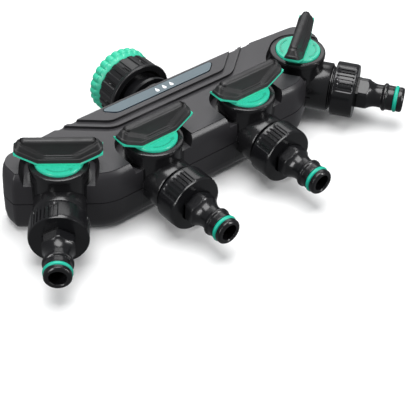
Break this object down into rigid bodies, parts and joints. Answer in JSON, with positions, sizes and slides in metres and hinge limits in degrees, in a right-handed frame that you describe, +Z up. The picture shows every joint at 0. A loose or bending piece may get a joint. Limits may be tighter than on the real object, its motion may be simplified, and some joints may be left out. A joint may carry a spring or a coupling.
{
  "type": "hose splitter",
  "caption": "Garden hose splitter: a tap inlet feeds a flat-topped body with a row of quarter-turn valves, each leading to a screw-on click-fit hose nipple.",
  "frame": {"origin": "centre of the bounding box in plan, at its underside", "axes": "+X along the body to the right-hand outlet, -Y out of the two middle outlets, +Y out of the tap inlet, +Z up"},
  "size_m": [0.2654, 0.1476, 0.0583],
  "materials": {
    "shell": "fine spark-eroded satin",
    "badge": "smooth",
    "black_plastic": "semi-gloss moulded",
    "nut_plastic": "satin moulded",
    "green_plastic": "smooth",
    "adapter_green": "smooth",
    "green_rubber": "smooth",
    "soft_grip": "soft-touch",
    "black_rubber": "moulded",
    "seat_plastic": "smooth",
    "ball_metal": "polished",
    "brass": "turned",
    "screw_steel": "zinc plated"
  },
  "bodies": {
    "root": {"upper_shell": "shell", "lower_shell": "shell", "badge_plate": "badge", "manifold": "black_plastic", "shell_screws": "screw_steel", "snap_ring": "screw_steel", "outlet_spigot_1": "black_plastic", "outlet_spigot_2": "black_plastic", "outlet_spigot_3": "black_plastic", "outlet_spigot_4": "black_plastic", "valve_seats_1": "seat_plastic", "valve_seats_2": "seat_plastic", "valve_seats_3": "seat_plastic", "valve_seats_4": "seat_plastic"},
    "valve_1": {"valve_ball_1": "ball_metal", "valve_stem_1": "brass", "stem_seal_1": "black_rubber", "knob_plate_1": "green_plastic", "knob_screw_1": "screw_steel", "knob_grip_1": "soft_grip"},
    "outlet_washer_1": {"outlet_washer_1": "black_rubber"},
    "connector_1": {"connector_1": "black_plastic", "nipple_seal_1": "green_rubber"},
    "valve_2": {"valve_ball_2": "ball_metal", "valve_stem_2": "brass", "stem_seal_2": "black_rubber", "knob_plate_2": "green_plastic", "knob_screw_2": "screw_steel", "knob_grip_2": "soft_grip"},
    "outlet_washer_2": {"outlet_washer_2": "black_rubber"},
    "connector_2": {"connector_2": "black_plastic", "nipple_seal_2": "green_rubber"},
    "valve_3": {"valve_ball_3": "ball_metal", "valve_stem_3": "brass", "stem_seal_3": "black_rubber", "knob_plate_3": "green_plastic", "knob_screw_3": "screw_steel", "knob_grip_3": "soft_grip"},
    "outlet_washer_3": {"outlet_washer_3": "black_rubber"},
    "connector_3": {"connector_3": "black_plastic", "nipple_seal_3": "green_rubber"},
    "valve_4": {"valve_ball_4": "ball_metal", "valve_stem_4": "brass", "stem_seal_4": "black_rubber", "knob_plate_4": "green_plastic", "knob_screw_4": "screw_steel", "knob_grip_4": "soft_grip"},
    "outlet_washer_4": {"outlet_washer_4": "black_rubber"},
    "connector_4": {"connector_4": "black_plastic", "nipple_seal_4": "green_rubber"},
    "swivel": {"swivel_nut": "nut_plastic"},
    "inlet_washer": {"inlet_washer": "black_rubber"},
    "adapter": {"adapter_ring": "adapter_green", "adapter_washer": "black_rubber"}
  },
  "joints": [
    {"name": "valve_1_turn", "type": "hinge", "parent": "root", "child": "valve_1", "pos_m": [-0.0875, 0.00775, 0.0429], "axis": [0, 0, 1], "range_deg": [0, 90]},
    {"name": "connector_1_travel", "type": "slide", "parent": "root", "child": "outlet_washer_1", "axis": [-0.5878, -0.809, 0], "range_m": [0, 0.01]},
    {"name": "connector_1_turn", "type": "hinge", "parent": "outlet_washer_1", "child": "connector_1", "pos_m": [-0.10513, -0.01652, 0.02], "axis": [-0.5878, -0.809, 0], "range_deg": [0, 1980]},
    {"name": "valve_2_turn", "type": "hinge", "parent": "root", "child": "valve_2", "pos_m": [-0.034, -0.00645, 0.0429], "axis": [0, 0, 1], "range_deg": [0, 90]},
    {"name": "connector_2_travel", "type": "slide", "parent": "root", "child": "outlet_washer_2", "axis": [0, -1, 0], "range_m": [0, 0.01]},
    {"name": "connector_2_turn", "type": "hinge", "parent": "outlet_washer_2", "child": "connector_2", "pos_m": [-0.034, -0.03645, 0.02], "axis": [0, -1, 0], "range_deg": [0, 1980]},
    {"name": "valve_3_turn", "type": "hinge", "parent": "root", "child": "valve_3", "pos_m": [0.034, -0.00645, 0.0429], "axis": [0, 0, 1], "range_deg": [0, 90]},
    {"name": "connector_3_travel", "type": "slide", "parent": "root", "child": "outlet_washer_3", "axis": [0, -1, 0], "range_m": [0, 0.01]},
    {"name": "connector_3_turn", "type": "hinge", "parent": "outlet_washer_3", "child": "connector_3", "pos_m": [0.034, -0.03645, 0.02], "axis": [0, -1, 0], "range_deg": [0, 1980]},
    {"name": "valve_4_turn", "type": "hinge", "parent": "root", "child": "valve_4", "pos_m": [0.0875, 0.00775, 0.0429], "axis": [0, 0, 1], "range_deg": [0, 90]},
    {"name": "connector_4_travel", "type": "slide", "parent": "root", "child": "outlet_washer_4", "axis": [0.5878, -0.809, 0], "range_m": [0, 0.01]},
    {"name": "connector_4_turn", "type": "hinge", "parent": "outlet_washer_4", "child": "connector_4", "pos_m": [0.10513, -0.01652, 0.02], "axis": [0.5878, -0.809, 0], "range_deg": [0, 1980]},
    {"name": "swivel_turn", "type": "hinge", "parent": "root", "child": "swivel", "pos_m": [0, 0.05465, 0.0219], "axis": [0, 1, 0], "continuous": true},
    {"name": "adapter_travel", "type": "slide", "parent": "swivel", "child": "inlet_washer", "axis": [0, 1, 0], "range_m": [0, 0.00602]},
    {"name": "adapter_turn", "type": "hinge", "parent": "inlet_washer", "child": "adapter", "pos_m": [0, 0.06885, 0.0219], "axis": [0, 1, 0], "range_deg": [0, 936]}
  ],
  "couplings": [
    {"joint": "connector_1_travel", "follows": "connector_1_turn", "m_per_rad": 0.00028871},
    {"joint": "connector_2_travel", "follows": "connector_2_turn", "m_per_rad": 0.00028871},
    {"joint": "connector_3_travel", "follows": "connector_3_turn", "m_per_rad": 0.00028871},
    {"joint": "connector_4_travel", "follows": "connector_4_turn", "m_per_rad": 0.00028871},
    {"joint": "adapter_travel", "follows": "adapter_turn", "m_per_rad": 0.00036749}
  ]
}
